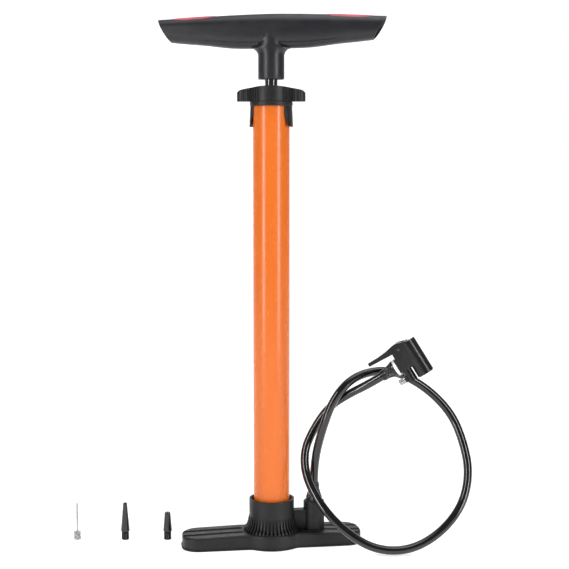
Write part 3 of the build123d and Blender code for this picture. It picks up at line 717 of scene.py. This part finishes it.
def stem_post():
    """The stem, round at the foot, spreading sideways into the grip's underside."""
    # (half width, height) from the bore's top, out round the foot and up to the flare.
    outline = [
        (STEM_BORE_R, STEM_BORE_TOP), (STEM_BORE_R, STEM_FOOT), (STEM_R - STEM_EDGE, STEM_FOOT),
        (STEM_R - 0.15, STEM_FOOT + 0.15), (STEM_R, STEM_FOOT + STEM_EDGE), (STEM_R, 496), (STEM_R, 504),
        (STEM_R, STEM_FLARE),
    ]
    flare = GRIP_UNDERSIDE[0][1] + STEM_SINK - STEM_FLARE
    for k in range(1, FILLET_STEPS + 1):
        rise = flare * math.sin(QUARTER * k / (FILLET_STEPS + FILLET_END_SPARE))
        spread = STEM_FILLET * (1 - math.sqrt(max(0.0, 1 - (rise / flare) ** 2)))
        outline.append((STEM_R + spread, STEM_FLARE + rise))
    # Inside the grip the stem narrows to the arch that stands proud of its flanks.
    outline += [(20.6, 520.6), (15.5, 523), (13.4, 527), (13.4, 535.5), (9, 536.5)]
    bm = bmesh.new()
    rings = [oval(bm, width, min(width, STEM_R), z, STEM_SIDES) for width, z in outline]
    skinned(bm, rings)
    bm.faces.new(rings[0])
    bm.faces.new(rings[-1])
    return as_object("stem_post", bm)


def make_handle():
    handle = creased(fused(grip_shell(), stem_post()), GRIP_CREASE)
    handle.data.transform(Matrix.Rotation(math.radians(HANDLE_YAW), 4, "Z"))
    place(handle, "plunger", "handle_plastic", ["handle_body", "grip_end_right", "grip_end_left"])


def rounded_share(part):
    """A sine or cosine bent from a circle's towards a rounded rectangle's."""
    return math.copysign(abs(part) ** (2 / PAD_SQUARENESS), part)


def pad_point(side, share, rise, angle):
    """A point of an inlay, this share of the way from its middle to its rim."""
    x = side * PAD_X + PAD_HALF_LENGTH * (share * rounded_share(math.cos(angle)))
    y = PAD_HALF_WIDTH * (share * rounded_share(math.sin(angle)))
    middle, half_height, half_depth = grip_section(x)
    crown = half_height * (1 - abs(y / half_depth) ** GRIP_SQUARENESS) ** (1 / GRIP_SQUARENESS)
    return x, y, middle + crown + PAD_PROUD * rise


def make_pad(side, node):
    """A soft red inlay on the grip's crest, crowned, with its rim sunk in the grip."""
    bm = bmesh.new()
    middle = bm.verts.new(pad_point(side, *PAD_RISES[0], 0.0))
    rings = []
    for share, rise in PAD_RISES[1:]:
        rings.append([
            bm.verts.new(pad_point(side, share, rise, TURN * k / PAD_SIDES)) for k in range(PAD_SIDES)
        ])
    for k in range(PAD_SIDES):
        bm.faces.new((middle, rings[0][k - 1], rings[0][k]))
    for low, high in zip(rings, rings[1:]):
        for k in range(PAD_SIDES):
            bm.faces.new((low[k], low[k - 1], high[k - 1], high[k]))
    bm.faces.new(rings[-1])
    pad = as_object(node + "_inlay", bm)
    pad.data.transform(Matrix.Rotation(math.radians(HANDLE_YAW), 4, "Z"))
    place(creased(pad, PAD_CREASE), "plunger", "pad_red", [node])


# ---- barrel -------------------------------------------------------------------------------
def make_barrel():
    """The painted tube, turned from its wall's section with softened edges."""
    low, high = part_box("barrel_tube")
    outer = high.x / MM
    inner = outer - BARREL_WALL
    foot, top = low.z / MM, high.z / MM
    wall = [(inner, foot), (outer, foot), (outer, top), (inner, top)]
    bm = bmesh.new()
    rings = [oval(bm, r, r, z, BARREL_SIDES) for r, z in softened(wall, BARREL_EDGE)]
    skinned(bm, rings + rings[:1])
    place(as_object("barrel_tube_painted", bm), "pump", "orange_paint", ["barrel_tube"])


# ---- ribbed, threaded and knurled pieces ---------------------------------------------------
def wave(turns):
    """A triangle wave between 0 and 1, one cycle for each turn."""
    share = turns % 1.0
    return 1 - abs(2 * share - 1)


def patterned(name, outline, relief, sides=PATTERN_SIDES, bored=False):
    """A turned body whose radius is cut by relief(angle in turns, height) along its (r, z) outline."""
    slimmest = 0.05
    bm = bmesh.new()
    rings = []
    for r, z in outline:
        ring = []
        for k in range(sides):
            share = k / sides
            radius = max(slimmest, r - relief(share, z)) if r > slimmest else slimmest
            ring.append(bm.verts.new((radius * math.cos(TURN * share), radius * math.sin(TURN * share), z)))
        rings.append(ring)
    skinned(bm, rings + rings[:1] if bored else rings)
    if not bored:
        bm.faces.new(rings[0])
        bm.faces.new(rings[-1])
    return as_object(name, bm)


def flank(r0, z0, r1, z1, count):
    """Points along a straight flank, its far end left out."""
    return [(r0 + (r1 - r0) * k / count, z0 + (z1 - z0) * k / count) for k in range(count)]


def foot_of(node):
    """The middle of a node's underside, in millimetres."""
    low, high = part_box(node)
    return ((low.x + high.x) / 2 / MM, (low.y + high.y) / 2 / MM, low.z / MM)


def stand(piece, node, slot):
    """Stands a turned adaptor where its CAD node stands."""
    piece.data.transform(Matrix.Translation(Vector(foot_of(node)) * MM))
    place(creased(piece, TURNED_CREASE), "pump", slot, [node])


def make_nozzle(node, total, tip, blunt):
    """A tapered adaptor on a helical screw root, with its air hole open at the tip."""
    def relief(share, z):
        fade = min(1.0, z / ROOT_RUN_IN, (ROOT_LENGTH - z) / ROOT_RUN_OUT)
        return 0.0 if z >= ROOT_LENGTH else ROOT_DEPTH * max(0.0, fade) * wave(z / ROOT_PITCH + share)

    # (radius, height): the root's foot and thread, the collar, the taper, the tip and the hole.
    outline = [(0, 0.02), (3.6, 0.0), (4.0, 0.25)]
    outline += flank(ROOT_R, 0.5, ROOT_R, ROOT_LENGTH - 0.05, ROOT_STEPS)
    outline += [
        (ROOT_NECK_R, ROOT_LENGTH - 0.02), (COLLAR_R, ROOT_LENGTH),
        (COLLAR_R + COLLAR_BULGE, ROOT_LENGTH + 0.1), (4.76, ROOT_LENGTH + 0.4),
    ]
    outline += flank(COLLAR_R, ROOT_LENGTH + TAPER_START, tip, total - blunt, TAPER_STEPS)
    shoulder = blunt * TIP_ROUNDING
    outline += [
        (tip, total - blunt), (tip - shoulder, total - shoulder), (tip - blunt, total),
        (AIR_HOLE_R + 0.1, total), (AIR_HOLE_R, total - 0.2), (AIR_HOLE_R, total - AIR_HOLE_DEPTH),
        (0, total - AIR_HOLE_DEPTH),
    ]
    stand(patterned(node + "_turned", outline, relief), node, "gloss_black")


def make_needle():
    """The ball needle: a diamond-knurled foot and a slim stem with a waist near its tip."""
    def relief(share, z):
        if not KNURL_LOW < z < KNURL_HIGH:
            return 0.0
        across = max(wave(KNURL_COUNT * share + z / KNURL_CLIMB), wave(KNURL_COUNT * share - z / KNURL_CLIMB))
        edge = min(1.0, (z - KNURL_LOW) / KNURL_FADE, (KNURL_HIGH - z) / KNURL_FADE)
        return KNURL_DEPTH * edge * across ** 3

    # (radius, height): the foot, the knurl, the shoulder, the stem, the waist and the tip.
    outline = [(0, 0.02), (3.7, 0), (KNURL_R, 0.35)]
    outline += flank(KNURL_R, 0.6, KNURL_R, KNURL_HIGH, KNURL_STEPS)
    outline += [(4.0, 8.1), (3.7, 8.35), (1.7, 8.4), (1.35, 8.6), (1.15, 9.6)]
    outline += [(NEEDLE_STEM_R, 10.4), (NEEDLE_STEM_R, 30.6), (NEEDLE_WAIST_R, 31.2)]
    outline += [(NEEDLE_WAIST_R, 33.0), (NEEDLE_TIP_R, 33.5), (NEEDLE_TIP_R, 39.2), (0.8, 39.7)]
    outline += [(0.5, NEEDLE_LENGTH), (0, NEEDLE_LENGTH)]
    stand(patterned("ball_needle_knurled", outline, relief, NEEDLE_SIDES), "ball_needle", "steel")


def fluted_bell(name, length, mouth_bore):
    """A hose ferrule, wide end at z = 0: a bell with long flutes, then two rings and a lip."""
    bore = HOSE_DIAMETER / 2 / MM + BELL_BORE_SPARE
    mouth = length * BELL_MOUTH

    def relief(share, z):
        flutes_end = length * BELL_FLUTES_END
        fade = min(1.0, max(0.0, (z - mouth) / FLUTE_RUN_IN), max(0.0, (flutes_end - z) / FLUTE_RUN_OUT))
        return FLUTE_DEPTH * fade * wave(FLUTE_COUNT * share) ** FLUTE_WIDTH_POWER

    start, foot = BELL_WIDE - BELL_STEP, mouth + BELL_STEP_RISE
    outline = [
        (bore, BELL_SOCKET_DEPTH), (mouth_bore, BELL_SOCKET_DEPTH), (mouth_bore, 0.0),
        (BELL_WIDE - BELL_EDGE, 0.0), (BELL_WIDE, BELL_EDGE), (BELL_WIDE, mouth), (start, foot),
    ]
    for k in range(1, BELL_STEPS + 1):
        share = k / BELL_STEPS
        narrowing = (BELL_NARROW + BELL_END_SPARE - start) * math.sin(QUARTER * share) ** BELL_CURVE
        outline.append((start + narrowing, foot + (length * BELL_END - mouth) * share))
    top = outline[-1][1]
    groove = BELL_NARROW - GROOVE_DEPTH
    crest = BELL_NARROW + RING_PROUD
    for ring in RING_STARTS:
        low = top + ring
        outline += [(groove, low), (groove, low + 0.35), (crest, low + 0.55), (crest, low + 1.1)]
    outline += [
        (groove, top + LIP_START), (BELL_NARROW, length - LIP_EDGE), (BELL_NARROW - LIP_EDGE, length),
        (bore, length),
    ]
    return patterned(name, outline, relief, BELL_SIDES, bored=True)


def head_frame():
    """The head's own axes in the model: its origin is the middle of the hose inlet."""
    end, before = Vector(HOSE_ROUTE[-1]), Vector(HOSE_ROUTE[-2])
    along = (end - before).normalized()
    up = (Vector((0, 0, 1)) - along * along.z).normalized()
    across = up.cross(along)
    origin = end + along * HEAD_ORIGIN_AHEAD
    return Matrix((
        (along.x, across.x, up.x, origin.x),
        (along.y, across.y, up.y, origin.y),
        (along.z, across.z, up.z, origin.z),
        (0, 0, 0, 1),
    ))


def make_strain_relief():
    relief = fluted_bell("strain_relief_bell", RELIEF_LENGTH, RELIEF_MOUTH_BORE)
    relief.data.transform(Matrix.Translation(Vector(RELIEF_FOOT) * MM))
    place(creased(relief, TURNED_CREASE), "pump", "soft_black", ["strain_relief"])


def make_head_ferrule():
    ferrule = fluted_bell("head_ferrule_bell", FERRULE_LENGTH, FERRULE_MOUTH_BORE)
    setback = Matrix.Translation((-FERRULE_SETBACK, 0, 0))
    ferrule.data.transform(head_frame() @ setback @ Matrix.Rotation(-QUARTER, 4, "Y"))
    place(creased(ferrule, TURNED_CREASE), "pump", "soft_black", ["head_ferrule"])
    return ferrule


# ---- everything ---------------------------------------------------------------------------
SLOTS = {row["node"]: row["material_slot"] for row in frame["record"]["subparts"]}
MOULDINGS = ["base_foot", "barrel_socket", "hose_port", "top_collar", "screw_cap", "head_body", "thumb_lever"]


def dress_nodes():
    """Every CAD node gets its slot's material."""
    for node, piece in NODES.items():
        piece.data.materials.clear()
        piece.data.materials.append(MATERIALS[SLOTS[node]])


look_camera()
light_studio()
lay_sweep(floor_paper())
dress_nodes()
hose_line = make_hose()
make_barrel()
make_handle()
make_pad(1, "grip_pad_right")
make_pad(-1, "grip_pad_left")
for name in MOULDINGS:
    polish(name)
make_strain_relief()
head_ferrule = make_head_ferrule()
make_nozzle("nozzle_long", total=40.0, tip=2.15, blunt=0.9)
make_nozzle("nozzle_short", total=29.5, tip=3.05, blunt=0.25)
make_needle()
